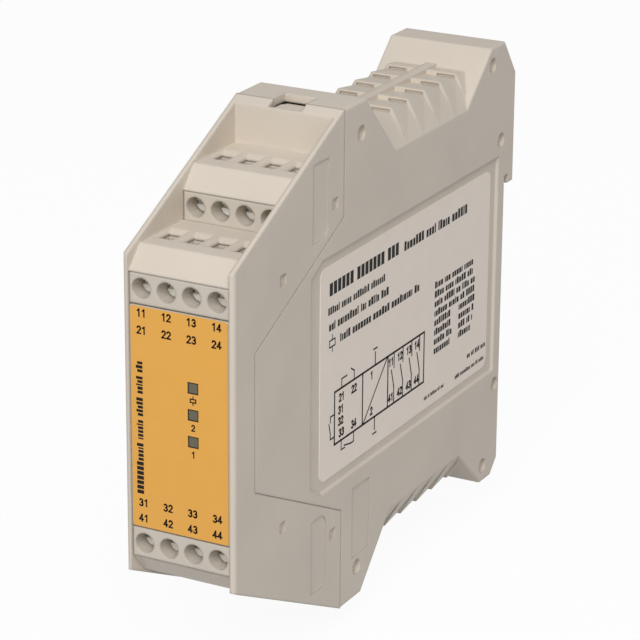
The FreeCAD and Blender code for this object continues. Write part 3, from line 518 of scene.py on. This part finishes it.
front_print()
rating_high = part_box("rating_label")[1]
rating = Print((rating_high.x, -SEAT_DEPTH * MM, 0), (0, 1, 0), (0, 0, 1))
rating_words(rating)
circuit_diagram(rating)
rating.finish("rating_print", print_ink, "rating_label")


# ---- louvred roofs -------------------------------------------------------------------

BLOCK_FACES = [(0, 1, 3, 2), (4, 6, 7, 5), (0, 4, 5, 1), (2, 3, 7, 6), (0, 2, 6, 4), (1, 5, 7, 3)]


def vent_strips():
    """Plastic strips that close the slots just behind the louvres' front edges."""
    first = -44.4              # front edge of the first louvre
    pitch = 7.0
    lip = 0.45                 # the edge over each slot
    opening = 0.5
    slope = 0.875
    inner, outer = 3.42, 7.18
    front, back = 0.32, 0.55   # behind the louvre's front edge
    gap = 0.01
    vertices = []
    faces = []
    for i in range(5):
        for side in (-1, 1):
            for roof_side in (-1, 1):
                start = len(vertices)
                for x in (inner, outer):
                    for dy in (front, back):
                        y = first + i * pitch + dy
                        top = ROOF_EDGE - lip - slope * dy
                        for z in (top - gap, top - opening + gap):
                            vertices.append((side * x * MM, y * MM, roof_side * z * MM))
                mirrored = side * roof_side > 0
                for face in BLOCK_FACES:
                    face = tuple(reversed(face)) if mirrored else face
                    faces.append([start + k for k in face])
    strips = mesh_object("vent_strips", vertices, faces, case_plastic)
    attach(strips, "case")


def roof_spines():
    """Flat strip along the middle of each louvred roof, level with the louvres' front edges."""
    half_wide = 1.15
    start, end = -55.5, -11.4
    low, high = 41.6, ROOF_EDGE + 0.04
    for name, roof_side in (("roof_spine_upper", 1), ("roof_spine_lower", -1)):
        low_z, high_z = sorted((roof_side * low, roof_side * high))
        vertices = [(x * MM, y * MM, z * MM) for x in (-half_wide, half_wide) for y in (start, end)
                    for z in (low_z, high_z)]
        strip = mesh_object(name, vertices, BLOCK_FACES, case_plastic)
        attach(strip, "case")


vent_strips()
roof_spines()


# ---- smooth coil for the latch spring ------------------------------------------------

def coil_spring():
    """Round wire coil in place of the solids' spring of straight pieces."""
    low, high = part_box("latch_spring")
    wire = 0.45 * MM
    radius = (high.x - low.x) / 2 - wire / 2
    centre = (low + high) / 2
    turns = 5
    steps = 24
    sides = 10
    vertices = []
    faces = []
    rise = (high.z - low.z) - wire
    for i in range(turns * steps + 1):
        angle = 2 * math.pi * i / steps
        out = Vector((math.cos(angle), math.sin(angle), 0))
        height = low.z + wire / 2 + rise * i / (turns * steps)
        base = Vector((centre.x, centre.y, height)) + out * radius
        for k in range(sides):
            a = 2 * math.pi * k / sides
            beside = out * (wire / 2 * math.cos(a))
            vertices.append(base + beside + Vector((0, 0, wire / 2 * math.sin(a))))
    for i in range(turns * steps):
        for k in range(sides):
            n = (k + 1) % sides
            faces.append([i * sides + k, (i + 1) * sides + k, (i + 1) * sides + n, i * sides + n])
    faces.append(list(range(sides)))
    faces.append([turns * steps * sides + k for k in reversed(range(sides))])
    spring = mesh_object("coil_spring", vertices, faces, spring_metal)
    for face in spring.data.polygons:
        face.use_smooth = True
    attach(spring, "case")
    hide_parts("latch_spring")
    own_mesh(spring)


coil_spring()


# ---- studio --------------------------------------------------------------------------

def floor():
    """Paper that looks almost white, seen or mirrored, but lights the object like a grey."""
    size = 6.0
    grey, paper = 0.5, 0.95
    glow = 0.94                # share of plain white where the paper is seen
    level = cad_bounds[0][2] - LATCH_ROOM * MM
    corners = [(-size, -size, level), (size, -size, level),
               (size, size, level), (-size, size, level)]
    thing = mesh_object("floor", corners, [[0, 1, 2, 3]], None)
    made = bpy.data.materials.new("floor_paper")
    made.use_nodes = True
    tree = made.node_tree
    shader = tree.nodes["Principled BSDF"]
    shader.inputs["Roughness"].default_value = 0.9
    path = node(tree, "ShaderNodeLightPath").outputs
    seen = node(tree, "ShaderNodeMath", {0: path["Is Camera Ray"], 1: path["Is Glossy Ray"]},
                operation="MAXIMUM").outputs[0]
    tree.links.new(spread(tree, seen, grey, paper, 0.0, 1.0), shader.inputs["Base Color"])
    share = node(tree, "ShaderNodeMath", {0: seen, 1: glow}, operation="MULTIPLY").outputs[0]
    white = node(tree, "ShaderNodeEmission", {"Color": (1, 1, 1, 1), "Strength": 1.0}).outputs[0]
    mix = node(tree, "ShaderNodeMixShader", {0: share, 1: shader.outputs[0], 2: white})
    tree.links.new(mix.outputs[0], tree.nodes["Material Output"].inputs["Surface"])
    thing.data.materials.clear()
    thing.data.materials.append(made)


def lamp(name, place, target, size, power):
    """A square area light in watts, turned to its target."""
    data = bpy.data.lights.new(name, "AREA")
    data.shape = "SQUARE"
    data.size = size
    data.energy = power
    thing = bpy.data.objects.new(name, data)
    thing.location = place
    thing.rotation_euler = (Vector(target) - Vector(place)).to_track_quat("-Z", "Y").to_euler()
    bpy.context.scene.collection.objects.link(thing)


def world():
    """Even white surroundings, weaker on the object than where they are seen directly."""
    ambient = 0.39
    made = bpy.data.worlds.new("studio")
    bpy.context.scene.world = made
    made.use_nodes = True
    tree = made.node_tree
    plain = tree.nodes["Background"]
    plain.inputs["Color"].default_value = (1, 1, 1, 1)
    plain.inputs["Strength"].default_value = ambient
    seen = node(tree, "ShaderNodeBackground", {"Color": (1, 1, 1, 1), "Strength": 1.0})
    path = node(tree, "ShaderNodeLightPath").outputs
    direct = node(tree, "ShaderNodeMath",
                  {0: path["Is Camera Ray"], 1: path["Is Transmission Ray"]}, operation="MAXIMUM")
    mix = node(tree, "ShaderNodeMixShader",
               {0: direct.outputs[0], 1: plain.outputs[0], 2: seen.outputs[0]})
    tree.links.new(mix.outputs[0], tree.nodes["World Output"].inputs["Surface"])


def camera():
    """The photograph's view, from a fit to the case's corners in it."""
    focal_pixels = 2983
    picture_pixels = 640
    data = bpy.data.cameras.new("camera")
    data.sensor_width = 36
    data.lens = focal_pixels / picture_pixels * data.sensor_width
    data.clip_start = 0.05
    data.clip_end = 50
    thing = bpy.data.objects.new("camera", data)
    forward = Vector((-0.4433, 0.8292, -0.3404)).normalized()
    right = Vector((0.8807, 0.4737, 0.0069)).normalized()
    up = right.cross(forward)
    turn = Matrix((right, up, -forward)).transposed()
    thing.matrix_world = Matrix.Translation((0.2515, -0.5285, 0.1965)) @ turn.to_4x4()
    bpy.context.scene.collection.objects.link(thing)
    bpy.context.scene.camera = thing


floor()
world()
lamp("key", (0.35, -0.885, 0.765), (0, -0.05, 0), 0.7, 10.1)
camera()
bpy.context.scene.view_settings.view_transform = "Standard"
